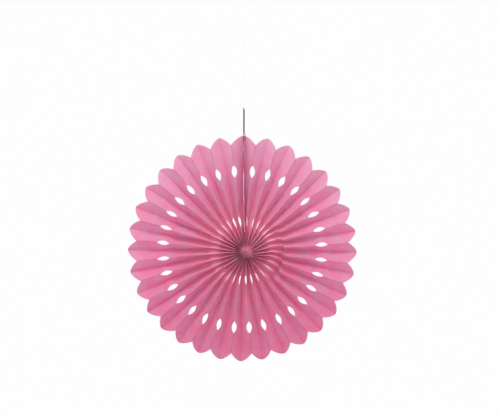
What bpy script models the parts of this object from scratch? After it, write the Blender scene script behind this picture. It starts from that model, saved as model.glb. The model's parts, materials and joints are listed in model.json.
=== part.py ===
"""Hanging tissue-paper fan: a pleated paper rosette that opens through the full circle.

It hangs by a thread loop from the origin. +Z is up, and the fan's disc lies in the XZ plane with its
front towards -Y. The two end cards stand face to face in the seam at the top of the disc. Metres.
"""

import math

import bmesh
import bpy
from mathutils import Matrix, Vector

# ---- Driving dimensions ------------------------------------------------------------------------------

PETALS = 32                 # petals round the fan, one of them split by the seam
TIP_RADIUS = 0.200          # fan centre to a petal's tip
PETAL_HEIGHT = 0.0125       # tip to the notch between two petals
PETAL_ROUNDING = 1.7        # 1 is a pointed petal, and 2 a round one
PLEAT_DEPTH = 0.025         # width of one pleat, from its back fold to its front edge
SEAM_HALF_ANGLE = math.radians(6.6)  # seam to the first front ridge on each side

TISSUE = 0.0002             # a stand-in for tissue that is about 0.03 mm thick
CARD = 0.0004               # end card
GAP = 0.0003                # between pieces that touch or are glued on the real fan
GLUE_MARGIN = 0.0008        # the card stays this far inside the tissue's edges

HOLE_RADIUS = 0.1395        # fan centre to the middle of an almond hole
HOLE_LENGTH = 0.024
HOLE_DEPTH = 0.0098         # how deep each half of the hole is cut into its leaf
SLIT_RADIUS = 0.052         # fan centre to the middle of an inner slit
SLIT_LENGTH = 0.0195
SLIT_DEPTH = 0.0098

CARD_START = 0.032          # fan centre to the inner end of the cards and the end leaves
TAPE_WIDTH = 0.012
TAPE_THICKNESS = 0.0002
TAPE_START = 0.040          # fan centre to the inner end of the tape
TAPE_END = 0.120
LENS_START = 0.127          # the cards part from here outwards, and meet again at the notches
LENS_OPENING = 0.0025       # how far each card leans out at its front edge

WIRE_DIAMETER = 0.0008
WIRE_HOLE_DIAMETER = 0.0024
WIRE_HOLE_FROM_TIP = 0.0085
WIRE_CLOSING_HEIGHT = 0.004  # height over which the wire's two legs come together, past the card's corner
STEM_HEIGHT = 0.0537        # hanger hole to the top of the two legs
EYE_RADIUS = 0.0018         # middle of the wire round the eye

THREAD_DIAMETER = 0.0006
KNOT_RING_RADIUS = 0.0017   # middle of the thread that goes through the eye
KNOT_RADIUS = 0.0011
KNOT_TAIL = 0.0045
LOOP_HALF_WIDTH = 0.0026    # half of the widest distance between the two strands
LOOP_HEIGHT = 0.1575        # top of the knot to the top of the loop

# ---- Sizes that follow from them -----------------------------------------------------------------------

PITCH = (2 * math.pi - 2 * SEAM_HALF_ANGLE) / (PETALS - 1)   # angle of one whole petal
HALF_PITCH = PITCH / 2
NOTCH_RADIUS = TIP_RADIUS - PETAL_HEIGHT
EDGE_INSET = GAP / 2 + TISSUE / 2   # middle of the tissue at a glued edge, to the ridge's plane
FOLD = 2 * TISSUE                   # width of the flat at the bottom of a back fold
CORE_RADIUS = 1.08 * (FOLD / 2 + TISSUE / 2 + GAP) / math.sin(HALF_PITCH)

TAPE_GAP = TAPE_THICKNESS + 2 * GAP           # between the two cards along the tape
TIP_GAP = WIRE_DIAMETER + 2 * GAP             # between the two cards at the hanger wire
CARD_TO_LEAF = CARD + GAP + TISSUE / 2        # card's inner face to the middle of its glued leaf
HOLE_Z = TIP_RADIUS - WIRE_HOLE_FROM_TIP      # hanger hole above the fan's centre

WIRE = WIRE_DIAMETER / 2
THREAD = THREAD_DIAMETER / 2
EYE_Z = HOLE_Z + STEM_HEIGHT + EYE_RADIUS + WIRE_DIAMETER
PIVOT_Z = EYE_Z + EYE_RADIUS - WIRE - GAP - THREAD      # thread's middle where it carries the eye
KNOT_Z = PIVOT_Z + 2 * KNOT_RING_RADIUS + KNOT_RADIUS * 0.6
LOOP_BOTTOM_Z = KNOT_Z + KNOT_RADIUS + GAP + THREAD
HANG_Z = LOOP_BOTTOM_Z + LOOP_HEIGHT
FAN_Z = -HANG_Z                                          # fan's centre, seen from the hanging point

COLOURS = {
    "tissue": ((0.87, 0.25, 0.45, 1.0), 0.85, 0.0),
    "card": ((0.74, 0.16, 0.34, 1.0), 0.7, 0.0),
    "tape": ((0.85, 0.83, 0.78, 1.0), 0.5, 0.0),
    "wire": ((0.36, 0.32, 0.28, 1.0), 0.4, 0.9),
    "thread": ((0.93, 0.93, 0.92, 1.0), 0.8, 0.0),
}


# ---- Scene helpers -----------------------------------------------------------------------------------

def clear_scene():
    for found in list(bpy.data.objects):
        bpy.data.objects.remove(found, do_unlink=True)


def make_material(name):
    colour, roughness, metallic = COLOURS[name]
    material = bpy.data.materials.new(name)
    material.use_nodes = True
    shader = material.node_tree.nodes["Principled BSDF"]
    shader.inputs["Base Color"].default_value = colour
    shader.inputs["Roughness"].default_value = roughness
    shader.inputs["Metallic"].default_value = metallic
    return material


def make_empty(name, place, parent=None):
    """An empty on a joint's axis. place is in the world."""
    empty = bpy.data.objects.new(name, None)
    PARTS.objects.link(empty)
    empty.parent = parent
    above = world_place(parent) if parent else Vector()
    empty.location = Vector(place) - above
    return empty


def world_place(thing):
    """Where an object's origin is, for parents that are not turned."""
    return Vector(thing.location) + (world_place(thing.parent) if thing.parent else Vector())


def add_part(name, mesh, material, parent, turn=0.0):
    """A named part at its parent's place, turned about the fan's axis."""
    part = bpy.data.objects.new(name, mesh)
    PARTS.objects.link(part)
    part.parent = parent
    part.rotation_euler = (0, turn, 0)
    if not mesh.materials:
        mesh.materials.append(material)
    return part


def mesh_of_curve(curve):
    """The mesh that a curve makes, with its loose caps welded."""
    holder = bpy.data.objects.new("holder", curve)
    PARTS.objects.link(holder)
    bpy.context.view_layer.update()
    evaluated = holder.evaluated_get(bpy.context.evaluated_depsgraph_get())
    mesh = bpy.data.meshes.new_from_object(evaluated)
    bpy.data.objects.remove(holder, do_unlink=True)
    bm = bmesh.new()
    bm.from_mesh(mesh)
    bmesh.ops.remove_doubles(bm, verts=bm.verts, dist=1e-6)
    bm.to_mesh(mesh)
    bm.free()
    return mesh


def tube(name, points, radius, resolution=2):
    """A round tube along a list of points."""
    curve = bpy.data.curves.new(name, "CURVE")
    curve.dimensions = "3D"
    curve.bevel_depth = radius
    curve.bevel_resolution = resolution
    curve.use_fill_caps = True
    spline = curve.splines.new("POLY")
    spline.points.add(len(points) - 1)
    for knot, place in zip(spline.points, points):
        knot.co = (*place, 1.0)
    mesh = mesh_of_curve(curve)
    mesh.shade_smooth()
    mesh.set_sharp_from_angle(angle=math.radians(50))
    return mesh


def flat_sheet(name, outline, thickness, folds, stations):
    """A die-cut sheet lying flat: X across the pleat, Y along it, Z through its thickness.

    It is scored across at each station and along each fold, so that it can bend there.
    """
    curve = bpy.data.curves.new(name, "CURVE")
    curve.dimensions = "2D"
    curve.fill_mode = "BOTH"
    spline = curve.splines.new("POLY")
    spline.points.add(len(outline) - 1)
    for knot, (across, along) in zip(spline.points, outline):
        knot.co = (across, along, 0, 1.0)
    spline.use_cyclic_u = True
    mesh = mesh_of_curve(curve)
    bm = bmesh.new()
    bm.from_mesh(mesh)
    bmesh.ops.dissolve_faces(bm, faces=bm.faces)
    cuts = [((x, 0, 0), (1, 0, 0)) for x in folds]
    cuts += [((0, y, 0), (0, 1, 0)) for y in stations]
    for place, direction in cuts:
        everything = bm.verts[:] + bm.edges[:] + bm.faces[:]
        bmesh.ops.bisect_plane(bm, geom=everything, dist=1e-6, plane_co=place, plane_no=direction)
    bmesh.ops.triangulate(bm, faces=bm.faces)
    bmesh.ops.translate(bm, verts=bm.verts, vec=(0, 0, -thickness / 2))
    grown = bmesh.ops.extrude_face_region(bm, geom=bm.faces[:])
    moved = [v for v in grown["geom"] if isinstance(v, bmesh.types.BMVert)]
    bmesh.ops.translate(bm, verts=moved, vec=(0, 0, thickness))
    bmesh.ops.recalc_face_normals(bm, faces=bm.faces)
    bm.to_mesh(mesh)
    bm.free()
    return mesh


def bend(mesh, shape):
    """Moves each point of a flat sheet to where shape(across, along, through) puts it."""
    for vertex in mesh.vertices:
        vertex.co = shape(*vertex.co)
    bm = bmesh.new()
    bm.from_mesh(mesh)
    bmesh.ops.recalc_face_normals(bm, faces=bm.faces)
    bm.to_mesh(mesh)
    bm.free()
    return mesh


# ---- The die-cut outline -----------------------------------------------------------------------------

def nibble(middle, length, depth, edge, steps):
    """Half of an almond, cut into a sheet's long edge: points from its inner end to its outer end."""
    points = []
    for i in range(steps + 1):
        share = 2 * i / steps - 1
        points.append((edge - depth * (1 - share * share), middle + share * length / 2))
    return points


def petal_side(edge, inset=0.0, steps=5):
    """The petal's curved side, from the notch at the edge up to its tip at the fold."""
    points = []
    for i in range(steps + 1):
        across = edge * (1 - i / steps)
        drop = PETAL_HEIGHT * (across / edge) ** PETAL_ROUNDING
        points.append((across, TIP_RADIUS - inset - drop))
    return points


def half_outline(start, edge, inset=0.0):
    """One side of a leaf or card, from its inner end to the petal's tip."""
    depth_lost = PLEAT_DEPTH - edge
    points = [(edge, start)]
    if start < SLIT_RADIUS - SLIT_LENGTH / 2 - GAP:
        points += nibble(SLIT_RADIUS, SLIT_LENGTH, SLIT_DEPTH - depth_lost, edge, 4)
    else:
        inner = nibble(SLIT_RADIUS, SLIT_LENGTH, SLIT_DEPTH - depth_lost, edge, 8)
        points = [p for p in inner if p[1] > start + GAP]
        points.insert(0, (points[0][0], start))
    points += nibble(HOLE_RADIUS, HOLE_LENGTH, HOLE_DEPTH - depth_lost, edge, 5)
    points += petal_side(edge, inset)
    return points


def leaf_outline(start):
    """The whole flat leaf, with its fold down the middle."""
    side = [(across + FOLD / 2, along) for across, along in half_outline(start, PLEAT_DEPTH)]
    other = [(-across, along) for across, along in reversed(side)]
    return side + other


# ---- How the tissue stands ---------------------------------------------------------------------------

def half_depth(radius):
    """Half the fan's thickness at a radius: the pleats open wider towards the rim, so they get shallower."""
    spread = 2 * radius * math.sin(HALF_PITCH / 2)
    return math.sqrt(PLEAT_DEPTH ** 2 - spread ** 2) / 2


def seam_back(radius):
    """How far back the end cards' back edges and the end leaves' folds stand, on a straight line."""
    return half_depth(0) + (half_depth(TIP_RADIUS) - half_depth(0)) * radius / TIP_RADIUS


def seam_face(radius, forward):
    """Distance of a card's inner face from the seam's plane. forward is the share of the way to the front."""
    if radius <= LENS_START:
        return TAPE_GAP / 2
    share = (radius - LENS_START) / (NOTCH_RADIUS - LENS_START)
    at_back = TAPE_GAP / 2 + (TIP_GAP - TAPE_GAP) / 2 * min(1, 2 * share)
    if share >= 1:
        return at_back
    return at_back + LENS_OPENING * forward * math.sin(math.pi * share) ** 2


def strip_point(corners, across, through):
    """A point of a folded strip's section, as (sideways, back), from its front edges and its back fold.

    corners are the left front edge, the back fold's middle and the right front edge.
    """
    left, fold, right = (Vector(c) for c in corners)
    side = 1 if across > 0 else -1
    edge = right if side > 0 else left
    base = fold + Vector((side * FOLD / 2, 0))
    share = max(0.0, (abs(across) - FOLD / 2) / PLEAT_DEPTH)
    middle = base.lerp(edge, share)
    run = (edge - base).normalized()
    outwards = Vector((-run.y, run.x)) * side
    if share == 0:
        corner = outwards + Vector((0, 1))
        outwards = corner / corner.dot(outwards)
    return middle + outwards * through


def leaf_shape(across, along, through):
    """A whole petal's leaf, standing astride the +Z direction from the fan's centre."""
    depth = half_depth(along)
    edge = along * math.sin(HALF_PITCH) - EDGE_INSET
    corners = ((-edge, -depth), (0, depth), (edge, -depth))
    sideways, back = strip_point(corners, across, through)
    share = max(0.0, (abs(across) - FOLD / 2) / PLEAT_DEPTH)
    outwards = along * (1 - share * (1 - math.cos(HALF_PITCH)))
    return (sideways, back, outwards)


def end_leaf_shape(across, along, through):
    """The right end leaf: one half glued to the card in the seam, the other half open to the first ridge."""
    back_line = seam_back(along)
    glued = seam_face(along, 1.0) + CARD_TO_LEAF
    fold = seam_face(along, 0.0) + CARD_TO_LEAF + FOLD / 2
    edge = along * math.sin(SEAM_HALF_ANGLE) - EDGE_INSET
    corners = ((glued, back_line - PLEAT_DEPTH), (fold, back_line), (edge, -half_depth(along)))
    sideways, back = strip_point(corners, across, through)
    share = max(0.0, (across - FOLD / 2) / PLEAT_DEPTH)
    outwards = along * (1 - share * (1 - math.cos(SEAM_HALF_ANGLE)))
    return (sideways, back, outwards)


def card_shape(across, along, through):
    """The right end card, standing beside the seam's plane. across runs from its back edge to its front."""
    forward = across / PLEAT_DEPTH
    sideways = seam_face(along, forward) + CARD / 2 + through
    return (sideways, seam_back(along) - across, along)


# ---- Parts -------------------------------------------------------------------------------------------

def mirrored(mesh, name):
    """A copy of a mesh for the other side of the seam."""
    copy = mesh.copy()
    copy.name = name
    copy.transform(Matrix.Scale(-1, 4, (1, 0, 0)))
    copy.flip_normals()
    return copy


def steps_between(low, high, count):
    return [low + (high - low) * i / count for i in range(1, count)]


def lens_stations():
    """Where the end leaves and the cards are scored alike, so that they bow out together."""
    return [LENS_START] + steps_between(LENS_START, NOTCH_RADIUS, 8) + [NOTCH_RADIUS]


def make_leaves(parent, material):
    middle = flat_sheet("leaf", leaf_outline(CORE_RADIUS), TISSUE, (-FOLD / 2, FOLD / 2),
                        steps_between(0, TIP_RADIUS, 5))
    bend(middle, leaf_shape)
    folds = (-FOLD / 2 - PLEAT_DEPTH / 2, -FOLD / 2, FOLD / 2)
    end = flat_sheet("end_leaf", leaf_outline(CARD_START), TISSUE, folds, lens_stations())
    punch_hole(end, (-FOLD / 2 - hole_across(), HOLE_Z))
    bend(end, end_leaf_shape)
    add_part("leaf_01", end, material, parent)
    for number in range(2, PETALS + 1):
        turn = SEAM_HALF_ANGLE + (number - 1.5) * PITCH
        add_part(f"leaf_{number:02d}", middle, material, parent, turn)
    add_part(f"leaf_{PETALS + 1:02d}", mirrored(end, "end_leaf_left"), material, parent)


def hole_across():
    """How far the hanger hole is from the fold or back edge: it is punched in the fan's middle plane."""
    return seam_back(HOLE_Z)


def punch_hole(mesh, middle):
    """Cuts the round hanger hole through a flat sheet."""
    sheet = bpy.data.objects.new("sheet", mesh)
    PARTS.objects.link(sheet)
    bm = bmesh.new()
    bmesh.ops.create_cone(bm, cap_ends=True, segments=12, radius1=WIRE_HOLE_DIAMETER / 2,
                          radius2=WIRE_HOLE_DIAMETER / 2, depth=20 * CARD)
    bmesh.ops.translate(bm, verts=bm.verts, vec=(*middle, 0))
    cutter_mesh = bpy.data.meshes.new("hanger_hole")
    bm.to_mesh(cutter_mesh)
    bm.free()
    cutter = bpy.data.objects.new("hanger_hole_cutter", cutter_mesh)
    CUTTERS.objects.link(cutter)
    cut = sheet.modifiers.new("punch", "BOOLEAN")
    cut.operation = "DIFFERENCE"
    cut.object = cutter
    bpy.context.view_layer.update()
    evaluated = sheet.evaluated_get(bpy.context.evaluated_depsgraph_get())
    result = bpy.data.meshes.new_from_object(evaluated)
    bm = bmesh.new()
    bm.from_mesh(result)
    bmesh.ops.triangulate(bm, faces=bm.faces)
    bm.to_mesh(mesh)
    bm.free()
    bpy.data.objects.remove(sheet, do_unlink=True)
    bpy.data.objects.remove(cutter, do_unlink=True)
    bpy.data.meshes.remove(result)


def make_cards(parent, material):
    side = half_outline(CARD_START, PLEAT_DEPTH - GLUE_MARGIN, GLUE_MARGIN)
    outline = side[:-1] + [(GLUE_MARGIN, side[-1][1]), (GLUE_MARGIN, CARD_START)]
    card = flat_sheet("card", outline, CARD, (PLEAT_DEPTH / 2,), lens_stations())
    punch_hole(card, (hole_across(), HOLE_Z))
    bend(card, card_shape)
    add_part("end_card_right", card, material, parent)
    add_part("end_card_left", mirrored(card, "card_left"), material, parent)


def make_tape(parent, material):
    bm = bmesh.new()
    bmesh.ops.create_cube(bm, size=1)
    size = (TAPE_THICKNESS, TAPE_WIDTH, TAPE_END - TAPE_START)
    bmesh.ops.scale(bm, verts=bm.verts, vec=size)
    bmesh.ops.translate(bm, verts=bm.verts, vec=(0, 0, (TAPE_START + TAPE_END) / 2))
    mesh = bpy.data.meshes.new("seam_tape")
    bm.to_mesh(mesh)
    bm.free()
    add_part("seam_tape", mesh, material, parent)


def make_core_thread(parent, material):
    """The ring of thread that ties the leaves' inner ends."""
    ring = CORE_RADIUS - GAP - THREAD
    bpy.ops.mesh.primitive_torus_add(major_segments=24, minor_segments=8, major_radius=ring,
                                     minor_radius=THREAD, rotation=(math.pi / 2, 0, 0))
    maker = bpy.context.active_object
    bpy.ops.object.transform_apply(location=True, rotation=True, scale=True)
    mesh = maker.data
    bpy.data.objects.remove(maker, do_unlink=True)
    mesh.shade_smooth()
    add_part("core_thread", mesh, material, parent)


def smooth_path(points, per_span):
    """Points read from a smooth curve through the given ones."""
    path = []
    places = [Vector(p) for p in points]
    for i in range(len(places) - 1):
        before = places[max(0, i - 1)]
        start, end = places[i], places[i + 1]
        after = places[min(len(places) - 1, i + 2)]
        for step in range(per_span):
            t = step / per_span
            path.append(0.5 * (2 * start + (end - before) * t
                               + (2 * before - 5 * start + 4 * end - after) * t * t
                               + (3 * start - before - 3 * end + after) * t ** 3))
    path.append(places[-1])
    return path


def wire_points():
    """The hanger wire's middle line, from the top of its right leg, through the hole, to the eye.

    Measured from the fan's centre.
    """
    right = TIP_GAP / 2 + CARD_TO_LEAF + TISSUE / 2 + GAP + WIRE
    beside = WIRE_DIAMETER + GAP
    top = HOLE_Z + STEM_HEIGHT
    straight = HOLE_Z + math.hypot(seam_back(HOLE_Z), WIRE_HOLE_FROM_TIP) + WIRE + GAP
    closing = straight + WIRE_CLOSING_HEIGHT
    bow = right / 2
    points = [(beside, 0, top), (beside, 0, (top + closing) / 2), (beside, 0, closing)]
    points += [(right, 0, straight)]
    for i in range(7):
        angle = math.pi * i / 6
        points.append((bow + bow * math.cos(angle), 0, HOLE_Z + bow - bow * math.sin(angle)))
    points += [(0, 0, straight), (0, 0, closing), (0, 0, (top + closing) / 2)]
    points += [(0, 0, top - 2 * WIRE)]
    for i in range(13):
        angle = math.radians(-50 + 285 * i / 12)
        points.append((0, -EYE_RADIUS * math.cos(angle), EYE_Z + EYE_RADIUS * math.sin(angle)))
    return points


def make_wire(parent, material, down):
    """parent is on the eye's axis, and down is the fan's centre as seen from there."""
    points = [Vector(p) + down for p in smooth_path(wire_points(), 2)]
    add_part("hanger_wire", tube("hanger_wire", points, WIRE), material, parent)


def make_knot(parent, material, down):
    """A ring of thread through the wire's eye, with the knot on top of it and two short tails."""
    bpy.ops.mesh.primitive_torus_add(major_segments=24, minor_segments=8, major_radius=KNOT_RING_RADIUS,
                                     minor_radius=THREAD, rotation=(math.pi / 2, 0, 0),
                                     location=(0, 0, PIVOT_Z + KNOT_RING_RADIUS))
    ring = bpy.context.active_object
    bpy.ops.object.transform_apply(location=True, rotation=True, scale=True)
    bm = bmesh.new()
    bmesh.ops.create_uvsphere(bm, u_segments=12, v_segments=8, radius=KNOT_RADIUS)
    bmesh.ops.translate(bm, verts=bm.verts, vec=(0, 0, KNOT_Z))
    ball_mesh = bpy.data.meshes.new("knot_ball")
    bm.to_mesh(ball_mesh)
    bm.free()
    tail = [(-KNOT_TAIL * s, 0, KNOT_Z - KNOT_TAIL * 0.35 * math.sin(math.pi * s))
            for s in (0.02, 0.35, 0.7, 1)]
    other = [(-x, y, z) for x, y, z in tail]
    others = [ball_mesh, tube("knot_tail", list(reversed(other)) + tail[1:], THREAD)]
    for mesh in others:
        adder = bpy.data.objects.new("knot_cutter", mesh)
        CUTTERS.objects.link(adder)
        join = ring.modifiers.new("join", "BOOLEAN")
        join.operation = "UNION"
        join.object = adder
    bpy.context.view_layer.update()
    evaluated = ring.evaluated_get(bpy.context.evaluated_depsgraph_get())
    mesh = bpy.data.meshes.new_from_object(evaluated)
    mesh.transform(Matrix.Translation(down))
    bpy.data.objects.remove(ring, do_unlink=True)
    for adder in list(CUTTERS.objects):
        bpy.data.objects.remove(adder, do_unlink=True)
    mesh.shade_smooth()
    add_part("thread_knot", mesh, material, parent)


def loop_points():
    """The thread loop's middle line, from the knot, up over the hook's place and down again."""
    foot = (KNOT_RADIUS * 0.45, 0, FAN_Z + LOOP_BOTTOM_Z)
    strand = [foot, (KNOT_RADIUS * 0.9, 0, FAN_Z + LOOP_BOTTOM_Z + 0.003)]
    strand += [(LOOP_HALF_WIDTH, 0, FAN_Z + LOOP_BOTTOM_Z + 0.012)]
    rest = LOOP_HEIGHT - 0.012
    for share in (0.25, 0.5, 0.75, 0.92):
        width = LOOP_HALF_WIDTH + (0.0012 - LOOP_HALF_WIDTH) * share
        strand.append((width, 0, -rest * (1 - share)))
    strand.append((0.0009, 0, -0.0022))
    top = (0, 0, -THREAD)
    back = [(-x, y, z) for x, y, z in reversed(strand)]
    return strand + [top] + back


def make_loop(material):
    points = smooth_path(loop_points(), 3)
    add_part("thread_loop", tube("thread_loop", points, THREAD), material, None)


# ---- Assembly ----------------------------------------------------------------------------------------

clear_scene()
PARTS = bpy.data.collections.new("tissue_fan")
CUTTERS = bpy.data.collections.new("cutters")
for made in (PARTS, CUTTERS):
    bpy.context.scene.collection.children.link(made)

tissue, card_board, tape, steel, cotton = (make_material(n) for n in COLOURS)

twist_axis = make_empty("twist_axis", (0, 0, FAN_Z + PIVOT_Z))
eye_axis = make_empty("eye_axis", (0, 0, FAN_Z + PIVOT_Z), twist_axis)
hole_axis = make_empty("hole_axis", (0, 0, FAN_Z + HOLE_Z + WIRE), eye_axis)
fan_axis = make_empty("fan_axis", (0, 0, FAN_Z), hole_axis)

make_loop(cotton)
make_knot(twist_axis, cotton, Vector((0, 0, -PIVOT_Z)))
make_wire(eye_axis, steel, Vector((0, 0, -PIVOT_Z)))
make_cards(fan_axis, card_board)
make_tape(fan_axis, tape)
make_core_thread(fan_axis, cotton)
make_leaves(fan_axis, tissue)
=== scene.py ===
"""The looks of the hanging tissue-paper fan: pleated tissue, end cards, bent wire hanger and thread loop.

The fan's disc stands in the XZ plane with its front towards -Y, and it hangs by its thread loop from
the origin. Every size is in metres and every angle about the fan's middle is clockwise from straight up.
"""
import json
import math
from functools import partial

import bmesh
import bpy
from mathutils import Matrix, Vector, noise


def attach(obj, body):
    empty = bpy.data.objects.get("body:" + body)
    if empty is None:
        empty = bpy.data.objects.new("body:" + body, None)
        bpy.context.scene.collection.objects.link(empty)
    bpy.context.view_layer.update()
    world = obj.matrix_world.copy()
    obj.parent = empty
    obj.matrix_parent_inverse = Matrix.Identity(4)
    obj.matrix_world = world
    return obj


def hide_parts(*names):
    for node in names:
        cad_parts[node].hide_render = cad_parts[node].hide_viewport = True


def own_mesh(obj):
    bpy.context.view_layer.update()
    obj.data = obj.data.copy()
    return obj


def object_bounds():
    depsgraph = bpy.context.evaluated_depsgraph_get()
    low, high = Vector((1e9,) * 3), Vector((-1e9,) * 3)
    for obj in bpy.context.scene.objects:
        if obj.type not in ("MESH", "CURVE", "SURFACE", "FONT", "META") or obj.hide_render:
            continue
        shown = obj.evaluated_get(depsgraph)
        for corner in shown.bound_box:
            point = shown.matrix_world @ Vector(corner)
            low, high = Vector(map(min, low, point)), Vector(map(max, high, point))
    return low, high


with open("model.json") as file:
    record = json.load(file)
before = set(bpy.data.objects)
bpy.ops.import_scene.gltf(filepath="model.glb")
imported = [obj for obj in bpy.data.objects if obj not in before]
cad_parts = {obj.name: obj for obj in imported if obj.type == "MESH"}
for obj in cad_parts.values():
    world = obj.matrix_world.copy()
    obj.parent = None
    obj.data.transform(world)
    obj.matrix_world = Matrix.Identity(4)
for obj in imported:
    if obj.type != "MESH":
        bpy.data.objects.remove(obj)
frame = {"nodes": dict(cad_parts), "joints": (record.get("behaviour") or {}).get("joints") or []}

CAD_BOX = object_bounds()
JOINT_AT = {joint["name"]: Vector(joint["pos_m"]) for joint in frame["joints"] if "pos_m" in joint}
CENTRE = JOINT_AT["open_fan"]

# ---- Sizes of the real pieces ------------------------------------------------------------------------

PETALS = 32
TIP_RADIUS = 0.2022        # from the middle of the fan to a petal's tip
PETAL_HEIGHT = 0.0167      # from the notches to the tip
PETAL_ROUNDING = 1.7       # the power of a petal's outline
NOTCH_RADIUS = TIP_RADIUS - PETAL_HEIGHT
PLEAT_DEPTH = 0.025        # from a leaf's fold to its glued edges, in the flat
SEAM_HALF_ANGLE = math.radians(6.6)       # from the seam to the first ridge
PITCH = (2 * math.pi - 2 * SEAM_HALF_ANGLE) / (PETALS - 1)

# The almond holes and the inner slits: the depth is how far each is cut into one leaf's edge.
HOLE_RADIUS, HOLE_LENGTH, HOLE_DEPTH = 0.1395, 0.0235, 0.0086
SLIT_RADIUS, SLIT_LENGTH, SLIT_DEPTH = 0.052, 0.0195, 0.0098
HOLE_START, HOLE_END = HOLE_RADIUS - HOLE_LENGTH / 2, HOLE_RADIUS + HOLE_LENGTH / 2
SLIT_START, SLIT_END = SLIT_RADIUS - SLIT_LENGTH / 2, SLIT_RADIUS + SLIT_LENGTH / 2
PETAL_START = 0.184        # where the sheets' straight rows end and the rows that follow the petal start

TISSUE = 0.00006           # drawn twice as thick as the paper, so that its cut edges show
GLUE_WIDTH = 0.0013        # the edge strips of two neighbouring leaves are glued over this width
GLUE_GAP = 0.00007         # half the distance between the middles of two glued strips
CORE_RADIUS = 0.0007       # where the leaves' inner ends are tied

CARD = 0.0004
CARD_START = 0.032
CARD_MARGIN = 0.0008       # how much smaller than its leaf a card is cut
GLUE_BUILD_UP = 0.0003     # glue and creases between a card and the half leaf that is glued to it
CARD_TO_LEAF = CARD + GLUE_BUILD_UP + TISSUE / 2
SEAM_GAP = 0.00003         # half the gap between the two cards where they touch
TAPE_GAP = 0.00025         # between the two cards where the tape is
TAPE_STARTS, TAPE_ENDS = (0.030, 0.038), (0.121, 0.130)   # the gap opens and closes over these lengths
WIRE_BULGE = 0.00066       # how far the wire pushes each card out near the tip
BULGE_STARTS = (0.178, 0.187)
LENS_START = 0.127
LENS_OPENING = 0.0013      # how far each card leans out at its front edge

WIRE_DIAMETER = 0.00125
STEM_HEIGHT = 0.0537       # from the hinge in the card to the foot of the eye
EYE_RADIUS = 0.0018
EYE_RISE = 0.0008          # from the foot of the eye to its ring
WIRE_HOLE_DIAMETER = 0.0024
WIRE_HOLE_FROM_TIP = 0.0085
HINGE_RISE = 0.0004        # the hinge is at the top of the wire that lies in the hole
WIRE_CLOSING_HEIGHT = 0.004      # over the tip, where the two legs come together
LEG_CLEARANCE = 0.0011     # from the half leaf's place to the right leg: the bulge of the card and some play
LEG_GAP = 0.00004          # between the two legs of the stem
PLAY = 0.0003              # room between pieces that lie loosely together

THREAD_DIAMETER = 0.0006
THREAD_TWIST = 0.0016      # length of one turn of the two plies
KNOT_RING_RADIUS = 0.0017
KNOT_RADIUS = 0.0011
KNOT_TAIL = 0.0045
TAIL_SAG = 0.35            # of a tail's length
PLY_STEP, LOOP_PLY_STEP = 0.00025, 0.0003 # length of one straight span of a ply
LOOP_HALF_WIDTH = 0.0026
LOOP_TOP_HALF_WIDTH = 0.0012
LOOP_HEIGHT = 0.1575
LOOP_FOOT_HEIGHT = 0.012   # over which the two strands part, just over the knot
TIE_RADIUS = 0.0009        # of the thread round the leaves' inner ends
TIE_SPACING = 0.0006

# ---- How this fan hangs: it is a soft thing, and not quite true ----------------------------------------

STRETCH_X, STRETCH_Z = 1.006, 0.994     # the disc sags a little wider than it is high
DISC_SHIFT = -0.0024       # the pleats hang a little to the left of the seam and the thread
CORE_SLIP = Vector((0.0030, 0, -0.0034))  # where the front of the core has sunk to
HUB_HEIGHT, HUB_RADIUS = 0.0062, 0.050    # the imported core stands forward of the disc
CONE_HEIGHT, CONE_RADIUS = 0.0035, 0.016  # its middle is a blunt cone of pleats pressed over one another
DISH = 0.0055              # and the rim leans back
DISH_POWER = 1.6
KINK_RADIUS = 0.0715       # a crease that runs round the right side
KINK_END = 0.082           # rows are close together as far as here, to carry the crease
TURN = math.radians(0.55)  # the whole disc hangs turned clockwise
DROOP = math.radians(0.8)  # and its sides droop
SLIP_START, SLIP_END = 0.006, 0.105       # the ridges' slip to the core's place fades out between these
SEAM_SLIP_END = 0.045      # the stiff cards let the seam slip along itself only as far as here


def smooth(value, low, high):
    """0 below low, 1 above high, and an easy slope between them."""
    share = min(1.0, max(0.0, (value - low) / (high - low)))
    return share * share * (3 - 2 * share)


def waver(seed, along, grain):
    """A smooth random value between about -1 and 1 that changes over a length of grain."""
    return noise.noise(Vector((along / grain, seed * 7.31, seed * 1.77))) * 1.6


# ---- Camera --------------------------------------------------------------------------------------------

def make_camera():
    """A long lens a little above the fan, with a view 0.8845 m wide where the fan hangs."""
    distance, elevation, view_width = 3.2, math.radians(3.0), 0.8845
    data = bpy.data.cameras.new("camera")
    data.sensor_width = 36
    data.lens = data.sensor_width * distance / view_width
    data.clip_end = 50
    camera = bpy.data.objects.new("camera", data)
    bpy.context.scene.collection.objects.link(camera)
    back = Vector((0, -math.cos(elevation), math.sin(elevation)))
    target = CENTRE + Vector((0.0137 + DISC_SHIFT, 0, 0.0743))
    camera.location = target + back * distance
    camera.rotation_euler = (-back).to_track_quat("-Z", "Y").to_euler()
    bpy.context.scene.camera = camera


make_camera()

# ---- Materials -----------------------------------------------------------------------------------------

UV_SCALE = 4.0             # a leaf's UV is in quarters of a metre, so that it fits the unit square


def paint(hex_colour):
    """An sRGB colour as the linear one that a shader takes."""
    parts = [int(hex_colour[i:i + 2], 16) / 255 for i in (1, 3, 5)]
    linear = [p / 12.92 if p <= 0.04045 else ((p + 0.055) / 1.055) ** 2.4 for p in parts]
    return (*linear, 1.0)


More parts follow.
